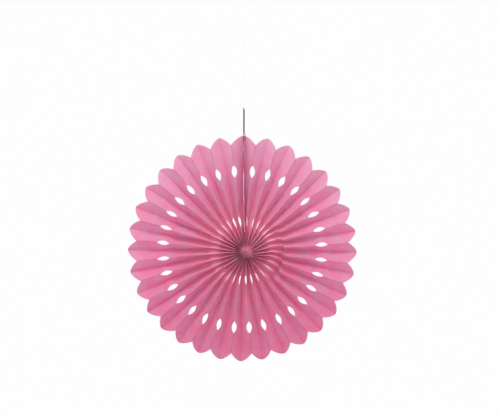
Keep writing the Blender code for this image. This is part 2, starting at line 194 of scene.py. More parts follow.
def add_node(tree, kind, settings=None, **inputs):
    """A node of that kind, with its settings, and its inputs set or linked.

    An input goes by its socket's name with _ for each space, or by i and the socket's number. A node
    that is given for an input is linked from its first output.
    """
    made = tree.nodes.new("ShaderNode" + kind)
    for name, value in (settings or {}).items():
        setattr(made, name, value)
    for name, value in inputs.items():
        socket = made.inputs[int(name[1:]) if name[1:].isdigit() else name.replace("_", " ")]
        if isinstance(value, bpy.types.Node):
            value = value.outputs[0]
        if isinstance(value, bpy.types.NodeSocket):
            tree.links.new(value, socket)
        else:
            socket.default_value = value
    return made


def new_material(name):
    """An empty material and its node tree."""
    material = bpy.data.materials.new(name)
    material.use_nodes = True
    material.node_tree.nodes.clear()
    return material, material.node_tree


def tissue_paper():
    """Tissue paper, dyed in the pulp and dried on a hot roller: thin, matte, and light shines through it.

    Its UV is the flat leaf, across from the fold and out from the core. The glued edge strips are two
    sheets thick, so past the holes they are darker, with a painted shadow of the gap between them. The
    crease at the fold is a painted shade. The inner half is painted pale, as painted light that goes from
    pleat to pleat, the core has painted shade with painted light on its upper right side, the top is
    painted paler as painted light from above, and the foot darker as painted shade.
    """
    material, tree = new_material("dyed_tissue_paper")
    place = add_node(tree, "TexCoord")
    solid = place.outputs["Object"]
    sheet = add_node(tree, "VectorMath", {"operation": "SCALE"}, i0=place.outputs["UV"], i3=1 / UV_SCALE)
    flat = add_node(tree, "SeparateXYZ", Vector=sheet)
    from_fold = add_node(tree, "Math", {"operation": "SUBTRACT"}, i0=flat.outputs[0], i1=0.5 / UV_SCALE)
    across = add_node(tree, "Math", {"operation": "ABSOLUTE"}, i0=from_fold)
    out = flat.outputs[1]
    height = add_node(tree, "SeparateXYZ", Vector=solid).outputs[2]
    # painted light and shade on the core follow how far a point lies up and to the right
    aside = add_node(tree, "VectorMath", {"operation": "DOT_PRODUCT"}, i0=solid, i1=(0.6, 0, 0.8))
    to_light = aside.outputs["Value"]

    # Uneven pulp leaves patches of about 16 mm. Real fibres and crepe are a few tenths of a millimetre,
    # and are drawn at 1.6 and 3.4 mm so that they show.
    pulp = add_node(tree, "TexNoise", Vector=solid, Scale=1 / 0.016, Detail=2.0)
    fibres = add_node(tree, "TexNoise", Vector=solid, Scale=1 / 0.0016, Detail=4.0, Roughness=0.65)
    crepe = add_node(tree, "TexNoise", Vector=solid, Scale=1 / 0.0034, Detail=5.0, Roughness=0.6)

    # Each zone goes smoothly from its least to its most as what is measured goes from start to end.
    middle, middle_to_light = CENTRE.z, CENTRE.z * 0.8
    zones = {"fibres": add_node(tree, "Math", {"operation": "MULTIPLY"}, i0=fibres, i1=0.35)}
    for name, measured, start, end, least, most in (
            ("patches", pulp, 0.38, 0.66, 0.0, 1.0),
            # painted light: the inner half is painted paler where its deep narrow pleats lie in shade, more
            # at the top and towards the folds
            ("inner", out, 0.122, 0.038, 0.0, 1.0),
            ("painted light at the inner top", height, middle - 0.03, middle + 0.04, 0.55, 1.0),
            ("painted light in the inner valleys", across, PLEAT_DEPTH, PLEAT_DEPTH * 0.2, 0.50, 1.05),
            # painted shade at the core, strongest at its middle; its tone is lit on the upper right side
            ("painted shade at the core", out, 0.020, 0.008, 0.0, 0.85),
            ("lit core", to_light, middle_to_light - 0.007, middle_to_light + 0.003, 0.0, 1.0),
            # painted light: the top of the disc is painted paler and whiter, more towards the rim, for the
            # light from above
            ("painted light at the top", height, middle - 0.10, middle + 0.22, 0.0, 0.55),
            ("painted light towards the rim", out, 0.02, 0.20, 0.0, 1.0),
            # painted shade: the lower part of the disc is painted darker towards its rim, as it faces away
            # from the light above
            ("foot", height, middle - 0.02, middle - 0.19, 0.0, 0.45),
            ("painted shade towards the foot's rim", out, 0.08, 0.17, 0.0, 1.0),
            # painted shade: a thin darker line along each leaf's fold, the valley at the back of the pleat
            ("crease", across, 0.0007, 0.0002, 0.0, 0.35),
            # the glued strips past the holes are painted darker: partly for their two sheets, partly as a
            # painted shadow of the gap between the strips
            ("glued", across, PLEAT_DEPTH - GLUE_WIDTH * 1.15, PLEAT_DEPTH - GLUE_WIDTH * 0.85, 0.0, 1.0),
            ("two sheets and painted shadow at the rim", out, 0.146, 0.156, 0.0, 0.35)):
        zones[name] = add_node(tree, "MapRange", {"interpolation_type": "SMOOTHSTEP"}, Value=measured,
                               From_Min=start, From_Max=end, To_Min=least, To_Max=most)

    body = add_node(tree, "Mix", {"data_type": "RGBA"}, i0=zones["patches"], i6=paint("#f298c0"),
                    i7=paint("#e9afcf")).outputs[2]
    # painted shade and painted light on the core: dark red to the lower left, pale pink to the upper right
    core = add_node(tree, "Mix", {"data_type": "RGBA"}, i0=zones["lit core"], i6=paint("#b8395c"),
                    i7=paint("#ec8bb0")).outputs[2]
    for tone, *names in (
            # painted light on the inner half
            (paint("#ffc6dc"), "inner", "painted light at the inner top", "painted light in the inner valleys"),
            # painted shade and light on the core
            (core, "painted shade at the core"),
            # painted light on the top
            (paint("#f2cbdf"), "painted light at the top", "painted light towards the rim"),
            # painted shade on the lower part
            (paint("#dc78a2"), "foot", "painted shade towards the foot's rim"),
            (paint("#f7c3da"), "fibres"),
            # painted shade along the fold
            (paint("#e57fa8"), "crease"),
            # two sheets and painted shadow on the glued strips
            (paint("#d9709c"), "glued", "two sheets and painted shadow at the rim")):
        share = zones[names[0]]
        for name in names[1:]:
            share = add_node(tree, "Math", {"operation": "MULTIPLY"}, i0=share, i1=zones[name])
        body = add_node(tree, "Mix", {"data_type": "RGBA"}, i0=share, i6=body, i7=tone).outputs[2]

    dents = add_node(tree, "Bump", Strength=0.35, Distance=0.0006, Height=crepe)
    paper = add_node(tree, "BsdfPrincipled", Base_Color=body, Roughness=0.82, Normal=dents,
                     Specular_IOR_Level=0.15, Sheen_Weight=0.06, Sheen_Roughness=0.6)
    through = add_node(tree, "BsdfTranslucent", Color=body, Normal=dents)
    thin = add_node(tree, "MixShader", i0=0.55, i1=paper, i2=through)
    add_node(tree, "OutputMaterial", Surface=thin)
    return material


def dyed_card():
    """Pasteboard, dyed through and pressed between rollers: flat, dense and faintly mottled.

    Its flecks of pulp are 2.5 mm across, and its felt marks and rubbed spots about 1 mm.
    """
    material, tree = new_material("pressed_pasteboard")
    solid = add_node(tree, "TexCoord").outputs["Object"]
    pulp = add_node(tree, "TexNoise", Vector=solid, Scale=1 / 0.0025, Detail=5.0, Roughness=0.7)
    flecks = add_node(tree, "MapRange", {"interpolation_type": "SMOOTHSTEP"}, Value=pulp, From_Min=0.35,
                      From_Max=0.7)
    colour = add_node(tree, "Mix", {"data_type": "RGBA"}, i0=flecks, i6=paint("#ee83ad"),
                      i7=paint("#f49bbd")).outputs[2]
    spots = add_node(tree, "TexNoise", Vector=solid, Scale=1 / 0.001, Detail=3.0)
    rubbed = add_node(tree, "Math", {"operation": "MULTIPLY_ADD"}, i0=spots, i1=0.15, i2=0.62)
    felt = add_node(tree, "TexNoise", Vector=solid, Scale=1 / 0.0012, Detail=4.0, Roughness=0.7)
    dents = add_node(tree, "Bump", Strength=0.25, Distance=0.0001, Height=felt)
    board = add_node(tree, "BsdfPrincipled", Base_Color=colour, Roughness=rubbed, Normal=dents)
    add_node(tree, "OutputMaterial", Surface=board)
    return material


def drawn_steel():
    """Soft steel wire, drawn and annealed: a dull warm grey skin of scale with fine lines along it.

    The scale hides most of the metal, so it is only slightly metallic. The lines are 0.13 mm wide and
    2 mm long.
    """
    material, tree = new_material("annealed_steel_wire")
    solid = add_node(tree, "TexCoord").outputs["Object"]
    drawn_out = add_node(tree, "Mapping", Vector=solid, Scale=(9.0, 9.0, 0.6))
    lines = add_node(tree, "TexNoise", Vector=drawn_out, Scale=1 / 0.0012, Detail=3.0)
    shown = add_node(tree, "MapRange", {"interpolation_type": "SMOOTHSTEP"}, Value=lines, From_Min=0.3,
                     From_Max=0.7)
    colour = add_node(tree, "Mix", {"data_type": "RGBA"}, i0=shown, i6=paint("#2c241c"),
                      i7=paint("#463b2f")).outputs[2]
    handled = add_node(tree, "TexNoise", Vector=solid, Scale=1 / 0.004, Detail=3.0)
    dulled = add_node(tree, "MapRange", {"interpolation_type": "SMOOTHSTEP"}, Value=handled,
                      From_Min=-0.9, From_Max=1.2)
    scale = add_node(tree, "TexNoise", Vector=solid, Scale=1 / 0.0005, Detail=2.0)
    dents = add_node(tree, "Bump", Strength=0.15, Distance=0.0001, Height=scale)
    steel = add_node(tree, "BsdfPrincipled", Base_Color=colour, Roughness=dulled, Metallic=0.15,
                     Normal=dents)
    add_node(tree, "OutputMaterial", Surface=steel)
    return material


def cotton_thread():
    """Cotton sewing thread, spun and bleached: matte, with a soft nap of 0.25 mm over its two plies."""
    material, tree = new_material("bleached_cotton_thread")
    solid = add_node(tree, "TexCoord").outputs["Object"]
    slubs = add_node(tree, "TexNoise", Vector=solid, Scale=1 / 0.0008, Detail=3.0)
    colour = add_node(tree, "Mix", {"data_type": "RGBA"}, i0=slubs, i6=paint("#e2e1de"),
                      i7=paint("#f4f3f1")).outputs[2]
    fuzz = add_node(tree, "TexNoise", Vector=solid, Scale=1 / 0.0006, Detail=3.0)
    matte = add_node(tree, "Math", {"operation": "ADD"}, i0=fuzz, i1=0.35)
    nap = add_node(tree, "TexNoise", Vector=solid, Scale=1 / 0.00025, Detail=3.0)
    dents = add_node(tree, "Bump", Strength=0.3, Distance=0.0001, Height=nap)
    cotton = add_node(tree, "BsdfPrincipled", Base_Color=colour, Roughness=matte, Normal=dents,
                      Sheen_Weight=0.3)
    add_node(tree, "OutputMaterial", Surface=cotton)
    return material


def tape_film():
    """Double-sided tape, a cast film with a tacky coat: milky, and smooth in patches of 5 mm."""
    material, tree = new_material("double_sided_tape")
    solid = add_node(tree, "TexCoord").outputs["Object"]
    milk = add_node(tree, "TexNoise", Vector=solid, Scale=1 / 0.003, Detail=3.0)
    colour = add_node(tree, "Mix", {"data_type": "RGBA"}, i0=milk, i6=paint("#d9d2c4"),
                      i7=paint("#ebe6dc")).outputs[2]
    tack = add_node(tree, "TexNoise", Vector=solid, Scale=1 / 0.005, Detail=3.0)
    smoothed = add_node(tree, "MapRange", {"interpolation_type": "SMOOTHSTEP"}, Value=tack,
                        From_Min=-0.4, From_Max=1.6)
    ripples = add_node(tree, "TexNoise", Vector=solid, Scale=1 / 0.002, Detail=3.0)
    dents = add_node(tree, "Bump", Strength=0.2, Distance=0.0001, Height=ripples)
    film = add_node(tree, "BsdfPrincipled", Base_Color=colour, Roughness=smoothed, Normal=dents)
    add_node(tree, "OutputMaterial", Surface=film)
    return material


def limewashed_floor():
    """A floor of boards under limewash: off-white and chalky, brushed on in sweeps of 0.3 m."""
    material, tree = new_material("limewashed_floor")
    solid = add_node(tree, "TexCoord").outputs["Object"]
    sweeps = add_node(tree, "TexNoise", Vector=solid, Scale=1 / 0.3, Detail=3.0)
    colour = add_node(tree, "Mix", {"data_type": "RGBA"}, i0=sweeps, i6=paint("#ededeb"),
                      i7=paint("#f5f5f3")).outputs[2]
    worn = add_node(tree, "TexNoise", Vector=solid, Scale=1 / 0.2, Detail=3.0)
    chalky = add_node(tree, "Math", {"operation": "ADD"}, i0=worn, i1=0.2)
    lime = add_node(tree, "BsdfPrincipled", Base_Color=colour, Roughness=chalky)
    add_node(tree, "OutputMaterial", Surface=lime)
    return material


TISSUE_PAPER, DYED_CARD, DRAWN_STEEL = tissue_paper(), dyed_card(), drawn_steel()
COTTON, TAPE = cotton_thread(), tape_film()

# ---- Pieces --------------------------------------------------------------------------------------------

def add_piece(name, mesh, material, slot, body, *nodes):
    """A finished piece on its body, which stands for those CAD nodes."""
    mesh.name = name
    mesh.materials.clear()
    mesh.materials.append(material)
    piece = bpy.data.objects.new(name, mesh)
    bpy.context.scene.collection.objects.link(piece)
    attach(piece, body)
    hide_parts(*nodes)
    return piece


def as_mesh(thing):
    """The mesh that an object makes with its modifiers, and the object is gone."""
    bpy.context.view_layer.update()
    evaluated = thing.evaluated_get(bpy.context.evaluated_depsgraph_get())
    mesh = bpy.data.meshes.new_from_object(evaluated)
    bpy.data.objects.remove(thing, do_unlink=True)
    return mesh


def tube(name, routes, radius, resolution):
    """Round tubes along lists of points, in one mesh."""
    curve = bpy.data.curves.new(name, "CURVE")
    curve.dimensions = "3D"
    curve.bevel_depth = radius
    curve.bevel_resolution = resolution
    curve.use_fill_caps = True
    for route in routes:
        spline = curve.splines.new("POLY")
        spline.points.add(len(route) - 1)
        for corner, at in zip(spline.points, route):
            corner.co = (*at, 1.0)
    holder = bpy.data.objects.new(name, curve)
    bpy.context.scene.collection.objects.link(holder)
    mesh = as_mesh(holder)
    bm = bmesh.new()
    bm.from_mesh(mesh)
    bmesh.ops.remove_doubles(bm, verts=bm.verts, dist=1e-6)
    bmesh.ops.recalc_face_normals(bm, faces=bm.faces)
    bm.to_mesh(mesh)
    bm.free()
    mesh.shade_smooth()
    mesh.set_sharp_from_angle(angle=math.radians(60))
    return mesh


def smooth_path(points, per_span):
    """Points read from a smooth curve through the given ones."""
    path = []
    places = [Vector(p) for p in points]
    for i in range(len(places) - 1):
        before = places[max(0, i - 1)]
        start, end = places[i], places[i + 1]
        after = places[min(len(places) - 1, i + 2)]
        for step in range(per_span):
            t = step / per_span
            path.append(0.5 * (2 * start + (end - before) * t
                               + (2 * before - 5 * start + 4 * end - after) * t * t
                               + (3 * start - before - 3 * end + after) * t ** 3))
    path.append(places[-1])
    return path


def plies(path, radius, twist, fineness):
    """The two plies of a twisted thread along a path, as lists of points, each of half its radius."""
    steps = []
    for start, end in zip(path, path[1:]):
        count = max(1, round((end - start).length / fineness))
        steps += [start.lerp(end, i / count) for i in range(count)]
    steps.append(path[-1])
    one, other = [], []
    turned = 0.0
    side = Vector((0, 1, 0))
    for i, at in enumerate(steps):
        ahead = (steps[min(i + 1, len(steps) - 1)] - steps[max(i - 1, 0)]).normalized()
        side = (side - ahead * side.dot(ahead)).normalized()
        up = ahead.cross(side)
        out = (side * math.cos(turned) + up * math.sin(turned)) * radius / 2
        one.append(at + out)
        other.append(at - out)
        if i + 1 < len(steps):
            turned += 2 * math.pi * (steps[i + 1] - at).length / twist
    return [one, other]


# ---- Thread and wire -----------------------------------------------------------------------------------

WIRE, THREAD = WIRE_DIAMETER / 2, THREAD_DIAMETER / 2      # their radii

# Heights over the middle of the fan.
HOLE_Z = JOINT_AT["swing_in_hole"].z - CENTRE.z - HINGE_RISE
EYE_Z = HOLE_Z + STEM_HEIGHT + EYE_RADIUS + EYE_RISE
PIVOT_Z = JOINT_AT["swing_on_eye"].z - CENTRE.z
KNOT_Z = PIVOT_Z + 2 * KNOT_RING_RADIUS + KNOT_RADIUS * 0.6
LOOP_BOTTOM_Z = KNOT_Z + KNOT_RADIUS + PLAY + THREAD


def loop_points():
    """The thread loop's middle line, from the knot, up over the hook's place and down again."""
    foot = CENTRE.z + LOOP_BOTTOM_Z
    strand = [(KNOT_RADIUS * 0.45, 0, foot), (KNOT_RADIUS * 0.9, 0, foot + LOOP_FOOT_HEIGHT / 4),
              (LOOP_HALF_WIDTH, 0, foot + LOOP_FOOT_HEIGHT)]
    rest = LOOP_HEIGHT - LOOP_FOOT_HEIGHT
    for share in (0.25, 0.5, 0.75, 0.92):
        width = LOOP_HALF_WIDTH + (LOOP_TOP_HALF_WIDTH - LOOP_HALF_WIDTH) * share
        strand.append((width, 0, -rest * (1 - share)))
    strand.append((0.0009, 0, -0.0022))
    back = [(-x, y, z) for x, y, z in reversed(strand)]
    return strand + [(0, 0, -THREAD)] + back


def make_knot():
    """An overhand knot on the ring of thread that goes through the wire's eye, with its two cut tails.

    Its wraps follow a trefoil, which is what an overhand knot closes to.
    """
    ring = []
    for i in range(25):
        angle = math.radians(-90 + 360 * i / 24)
        ring.append(Vector((KNOT_RING_RADIUS * math.cos(angle), 0,
                            PIVOT_Z + KNOT_RING_RADIUS + KNOT_RING_RADIUS * math.sin(angle))))
    wraps = []
    for i in range(49):
        a = 2 * math.pi * i / 48
        wraps.append(Vector((math.sin(a) + 2 * math.sin(2 * a), math.sin(3 * a) * -0.9,
                             math.cos(a) - 2 * math.cos(2 * a))) * (KNOT_RADIUS - THREAD) / 3
                     + Vector((0, 0, KNOT_Z)))
    tails = []
    for side in (-1, 1):
        tails.append([Vector((side * KNOT_TAIL * share, 0.0002 * side,
                              KNOT_Z - KNOT_TAIL * TAIL_SAG * math.sin(math.pi * share)))
                      for share in (0.02, 0.2, 0.4, 0.6, 0.8, 1)])
    routes = []
    for path in [ring, wraps] + tails:
        placed = [p + CENTRE for p in smooth_path(path, 3)]
        routes += plies(placed, THREAD, THREAD_TWIST, PLY_STEP)
    mesh = tube("knotted_thread", routes, THREAD / 2, 2)
    return add_piece("knotted_thread", mesh, COTTON, "thread", "knot", "thread_knot")


def make_loop(knot):
    """The hanging loop: one length of thread that goes up from the knot and comes back to it."""
    path = smooth_path(loop_points(), 8)
    mesh = tube("hanging_loop", plies(path, THREAD, THREAD_TWIST, LOOP_PLY_STEP), THREAD / 2, 1)
    loop = add_piece("hanging_loop", mesh, COTTON, "thread", "hanging_thread", "thread_loop")


def wire_points():
    """The hanger wire's middle line, from the top of its right leg, through the hole, to the eye."""
    right = CARD_TO_LEAF + LEG_CLEARANCE + WIRE
    beside = WIRE_DIAMETER + LEG_GAP
    top = HOLE_Z + STEM_HEIGHT
    straight = HOLE_Z + math.hypot(seam_back(HOLE_Z), WIRE_HOLE_FROM_TIP) + WIRE + PLAY
    closing = straight + WIRE_CLOSING_HEIGHT
    bow = right / 2
    points = [(beside, 0, EYE_Z - WIRE / 2), (beside, 0, (top + closing) / 2), (beside, 0, closing),
              (right, 0, straight)]
    for i in range(7):
        angle = math.pi * i / 6
        points.append((bow + bow * math.cos(angle), 0, HOLE_Z + bow - bow * math.sin(angle)))
    points += [(0, 0, straight), (0, 0, closing), (0, 0, (top + closing) / 2), (0, 0, top - 2 * WIRE)]
    for i in range(13):
        angle = math.radians(-50 + 285 * i / 12)
        points.append((0, -EYE_RADIUS * math.cos(angle), EYE_Z + EYE_RADIUS * math.sin(angle)))
    return points


def make_wire():
    """One length of wire, bent double through the hole in the card, with a round eye at its top."""
    path = [p + CENTRE for p in smooth_path(wire_points(), 5)]
    mesh = tube("bent_wire", [path], WIRE, 4)
    add_piece("bent_wire", mesh, DRAWN_STEEL, "wire", "hanger", "hanger_wire")


# ---- How the tissue stands -----------------------------------------------------------------------------

def half_depth(radius):
    """Half the fan's thickness: the pleats open wider towards the rim, so they get shallower."""
    spread = 2 * radius * math.sin(PITCH / 4)
    return math.sqrt(PLEAT_DEPTH ** 2 - spread ** 2) / 2


def middle_depth(radius):
    """How far the middle of the disc's thickness stands behind its plane: forward at the core."""
    hub = HUB_HEIGHT * (1 - smooth(radius, 0.0, HUB_RADIUS))
    cone = CONE_HEIGHT * max(0.0, 1 - radius / CONE_RADIUS)
    return DISH * (radius / TIP_RADIUS) ** DISH_POWER - (hub + cone)


def pressed_over(number, radius):
    """1 at the core, where the pleats are pressed over one another, and 0 where they stand free."""
    return 1 - smooth(radius + 0.0025 * waver(number + 400, 0.5, 1.0), 0.005, 0.018)


def glue_width(number, radius):
    """Width of the strip that leans over at ridge number 0 to 31."""
    return GLUE_WIDTH * (1 + 1.2 * pressed_over(number, radius))


def hung(angle):
    """Where gravity lets a pleat hang: the sides droop a little, and the whole disc hangs turned."""
    return angle + TURN + DROOP * math.sin(angle)


def ridge_angle(number):
    """Where ridge number 0 to 31 stands."""
    return hung(SEAM_HALF_ANGLE + number * PITCH)


def leaf_angle(number):
    """Where leaf number 2 to 32 would stand in a perfect fan."""
    return SEAM_HALF_ANGLE + (number - 1.5) * PITCH


def kink(angle, radius):
    """The crease on the right side: inside it the pleats have slipped anticlockwise."""
    degrees = math.degrees(angle)
    reach = smooth(degrees, 30, 75) * (1 - smooth(degrees, 125, 150))
    strength = 0.0045 + 0.003 * smooth(degrees, 90, 120)
    step = 1 - smooth(radius, KINK_RADIUS - 0.005, KINK_RADIUS + 0.005)
    fade = smooth(radius, 0.012, 0.055)
    return -strength * reach * step * fade


def fold_point(angle, radius, back, forward, seed):
    """A point of a fold line. forward is 1 for a ridge at the front and 0 for a valley at the back.

    A line wanders sideways in long and short waves, slips at the kink, and sinks with the core's front.
    """
    room = min(1.0, radius / 0.045)
    slide = 0.0011 * room * waver(seed, radius, 0.045) + 0.0004 * room * waver(seed + 50, radius, 0.014)
    slide += kink(angle, radius) * (0.65 + 0.35 * forward)
    slip = CORE_SLIP * (1 - smooth(radius, SLIP_START, SLIP_END)) * (forward - 0.15 * (1 - forward))
    x = radius * math.sin(angle) + slide * math.cos(angle) + slip.x
    x += DISC_SHIFT * smooth(radius, 0.0, 0.06)
    z = radius * math.cos(angle) - slide * math.sin(angle) + slip.z
    return Vector((x * STRETCH_X, back + middle_depth(radius), z * STRETCH_Z))


def ridge_root(number, radius):
    """Where two leaves come together behind the glued strip of ridge number 0 to 31."""
    back = glue_width(number, radius) - half_depth(radius)
    return fold_point(ridge_angle(number), radius, back, 1.0, number + 1)


def valley(number, radius):
    """The fold of leaf number 2 to 32."""
    return fold_point(hung(leaf_angle(number)), radius, half_depth(radius), 0.0, number + 100)


def strip_lean(number, radius):
    """The angle at which the glued strip of a ridge leans over, from straight forward.

    The strips lean further over at the rim, lie down at the core, and one in five leans the other way.
    """
    outer = smooth(radius, 0.060, 0.120)
    core = pressed_over(number, radius)
    lean = 8 + 46 * outer + 50 * core + 14 * (1 - core) * waver(number + 200, radius, 0.06)
    return math.radians(lean) * (1 if number % 5 or core > 0 else -1)


def openness(number):
    """How far the inner slit at a ridge stands open.

    The slits at the top, at the upper right and at the foot stand open, and the pleats at the sides
    press theirs nearly shut.
    """
    degrees = math.degrees(ridge_angle(number)) % 360
    if degrees > 270:
        degrees -= 360
    top = 0.82 * math.exp(-((degrees + 11) / 17) ** 2)
    right = 0.34 * (1 - smooth(abs(degrees - 30), 14, 34))
    bottom = 0.86 * math.exp(-((degrees - 175) / 25) ** 2)
    slight = max(0.18 * (1 - smooth(abs(degrees - middle), 10, 17)) for middle in (-45, 62, 134))
    return max(top, right, bottom, slight) * (0.9 + 0.3 * waver(number + 300, 0.5, 1.0))


def pressed(ridge, along):
    """How far a cut edge has been pushed back to its neighbour, from 0 to 1."""
    if SLIT_START < along < SLIT_END:
        return 1 - min(1.0, max(0.0, openness(ridge)))
    if HOLE_START < along < HOLE_END:
        return 0.20 * math.sin(ridge_angle(ridge)) ** 2
    return 0.0


# ---- The leaves ----------------------------------------------------------------------------------------

def nibble_depth(along, middle, length, depth):
    """How deep a pointed oval is cut into the leaf's edge at a distance from the core."""
    share = (along - middle) / (length / 2)
    return depth * (1 - share * share) if abs(share) < 1 else 0.0


def leaf_width(along):
    """Share of the pleat's depth that is left at a distance from the core."""
    cut = (nibble_depth(along, HOLE_RADIUS, HOLE_LENGTH, HOLE_DEPTH)
           + nibble_depth(along, SLIT_RADIUS, SLIT_LENGTH, SLIT_DEPTH))
    return 1 - cut / PLEAT_DEPTH


def petal_end(share):
    """How far out the petal reaches, from its tip at the fold (share 0) to the notch (share 1)."""
    return TIP_RADIUS - PETAL_HEIGHT * share ** PETAL_ROUNDING


def stations(spans):
    """Distances along a leaf, from spans of (start, end, wanted step)."""
    found = [spans[0][0]]
    for start, end, step in spans:
        count = max(1, round((end - start) / step))
        found += [start + (end - start) * i / count for i in range(1, count + 1)]
    return found


LEAF_ROWS = stations([
    (CORE_RADIUS, SLIT_START, 0.0018), (SLIT_START, SLIT_END, 0.0015), (SLIT_END, KINK_END, 0.0013),
    (KINK_END, HOLE_START, 0.0026), (HOLE_START, HOLE_END, 0.0015), (HOLE_END, PETAL_START, 0.0026)])
LEAF_PETAL_ROWS = 7

# Shares of the pleat's depth, closer together at the fold and at the glued edge.
HALF_COLUMNS = [0, 0.012, 0.04, 0.10, 0.20, 0.31, 0.43, 0.55, 0.67, 0.78, 0.87, 0.935, 0.965, 1.0]
LEAF_COLUMNS = [-c for c in reversed(HALF_COLUMNS[1:])] + HALF_COLUMNS


def panel_normal(start, end, angle):
    """The way a panel faces, towards the front, from its fold (start) to its ridge (end)."""
    outwards = Vector((math.sin(angle), 0, math.cos(angle)))
    normal = (end - start).cross(outwards)
    if normal.length < 1e-9:
        return Vector((0, -1, 0))
    return normal.normalized() * (-1 if normal.y > 0 else 1)


def panel_point(fold, ridge, side, share, along, seed):
    """A point of the panel between a fold and a ridge: share is 0 at the fold and 1 at the front edge.

    The strip in front of the ridge's root is glued and leans over. The rest runs from the fold to the root
    with a soft belly, and its cut edge is drawn towards its neighbour as far as it is pressed shut.
    """
    glue_share = 1 - glue_width(ridge, along) / PLEAT_DEPTH
    edge, lean, shut = leaf_width(along), strip_lean(ridge, along), pressed(ridge, along)
    angle = ridge_angle(ridge)
    tangent = Vector((math.cos(angle), 0, -math.sin(angle)))
    forward = Vector((0, -math.cos(lean), 0)) + tangent * math.sin(lean)
    apart = Vector((0, -math.sin(lean), 0)) - tangent * math.cos(lean)
    base = ridge_root(ridge, along) + apart * GLUE_GAP * side
    if share > glue_share:
        return base + forward * (share - glue_share) * PLEAT_DEPTH
    inner = share / glue_share
    point = fold.lerp(base, inner)
    normal = panel_normal(fold, base, angle)
    room = min(1.0, along / 0.060)
    belly = 0.0011 * room * waver(seed, along, 0.038) + 0.0004 * room
    crumple = min(0.0005, 0.02 * along) * (1 - smooth(along, 0.035, 0.065))
    ripple = noise.noise(Vector((share * 6, along / 0.006, seed * 3.3)))
    if SLIT_START - 0.008 < along < SLIT_END + 0.008:
        belly *= 0.3
    drawn = shut * (share / edge) ** 2
    point += normal * math.sin(math.pi * inner) * (belly + crumple * ripple) * (1 - drawn)
    if shut > 0 and edge < glue_share:
        end = fold.lerp(base, edge / glue_share)
        gap = (base - end).dot(tangent) - GLUE_GAP * side * 0.5
        point += tangent * gap * drawn
    return point


def whole_leaf_point(number, across, along):
    """Leaf 2 to 32. across is -1 to 1 of the pleat's depth, negative on the anticlockwise side."""
    side = -1 if across < 0 else 1
    ridge = number - 2 if side < 0 else number - 1
    return panel_point(valley(number, along), ridge, side, abs(across), along, number * 2 + (side > 0))


def seam_back(radius):
    """How far back the end cards' back edges and the end leaves' folds stand. The cards are straight."""
    return half_depth(0) + (half_depth(TIP_RADIUS) - half_depth(0)) * radius / TIP_RADIUS


def seam_face(radius, forward):
    """Distance of a card's inner face from the seam's plane, at the back (forward 0) or the front (1).

    Tape holds the cards apart along the middle, the wire pushes them out at the tip, and near the rim
    their front edges lean away from each other like a lens.
    """
    taped = smooth(radius, *TAPE_STARTS) * (1 - smooth(radius, *TAPE_ENDS))
    taped *= 1 - smooth(forward, 0.75, 0.95)
    wire_at = (seam_back(HOLE_Z) + middle_depth(HOLE_Z)) / PLEAT_DEPTH
    wired = smooth(radius, *BULGE_STARTS) * (1 - smooth(abs(forward - wire_at), 0.28, 0.50))
    face = SEAM_GAP + (TAPE_GAP / 2) * taped + WIRE_BULGE * wired
    share = (radius - LENS_START) / (NOTCH_RADIUS - LENS_START)
    if 0 < share < 1:
        face += LENS_OPENING * forward * math.sin(math.pi * share) ** 2
    return face


def seam_point(side, forward, along, off):
    """A point beside the seam, off from the face of the card, at the back (0) or at the front (1)."""
    face = seam_face(along, forward) + off * smooth(along, 0.004, CARD_START)
    sunk = CORE_SLIP.x * (1 - smooth(along, SLIP_START, SLIP_END)) * forward
    slip = CORE_SLIP.z * (1 - smooth(along, SLIP_START, SEAM_SLIP_END)) * forward
    back = seam_back(along) - forward * PLEAT_DEPTH + middle_depth(along)
    return Vector((side * face * smooth(along, -0.002, 0.02) + sunk, back, (along + slip) * STRETCH_Z))


def end_leaf_point(side, across, along):
    """Leaf 1 (side 1) and leaf 33 (side -1): across from -1 at the glued edge to 1 at the first ridge."""
    ridge = 0 if side > 0 else PETALS - 1
    if across <= 0:
        return seam_point(side, -across, along, CARD_TO_LEAF)
    fold = seam_point(side, 0.0, along, CARD_TO_LEAF + GLUE_BUILD_UP)
    return panel_point(fold, ridge, side, across, along, 2 if side > 0 else 70)


def grid_of(columns, rows):
    """A flat grid of that many columns and rows of points, and each point's column and row."""
    bm = bmesh.new()
    bmesh.ops.create_grid(bm, x_segments=columns - 1, y_segments=rows - 1, size=1)
    places = [(round((vertex.co.x + 1) / 2 * (columns - 1)), round((vertex.co.y + 1) / 2 * (rows - 1)))
              for vertex in bm.verts]
    return bm, places


def shaped_sheet(name, columns, rows, petal_rows, width_at, end_at, place, flip):
    """A die-cut sheet: a grid stretched to its outline and bent by place(across, along).

    Its UV is the flat sheet. rows are straight across it, width_at(along) wide, and then petal_rows more
    follow the petal's outline, end_at(share).
    """
    bm, places = grid_of(len(columns), len(rows) + petal_rows)
    flat = []
    for vertex, (column, row) in zip(bm.verts, places):
        share = columns[column]
        if row < len(rows):
            along = rows[row]
            across = share * width_at(along)
        else:
            across = share
            done = (row - len(rows) + 1) / petal_rows
            along = rows[-1] + (end_at(abs(across)) - rows[-1]) * done
        flat.append((across, along))
        vertex.co = place(across, along) + CENTRE
    layer = bm.loops.layers.uv.new("flat")
    for face in bm.faces:
        for loop in face.loops:
            across, along = flat[loop.vert.index]
            loop[layer].uv = (0.5 + across * PLEAT_DEPTH * UV_SCALE, along * UV_SCALE)
    if flip:
        bmesh.ops.reverse_faces(bm, faces=bm.faces)
    mesh = bpy.data.meshes.new(name)
    bm.to_mesh(mesh)
    bm.free()
    mesh.shade_smooth()
    return mesh


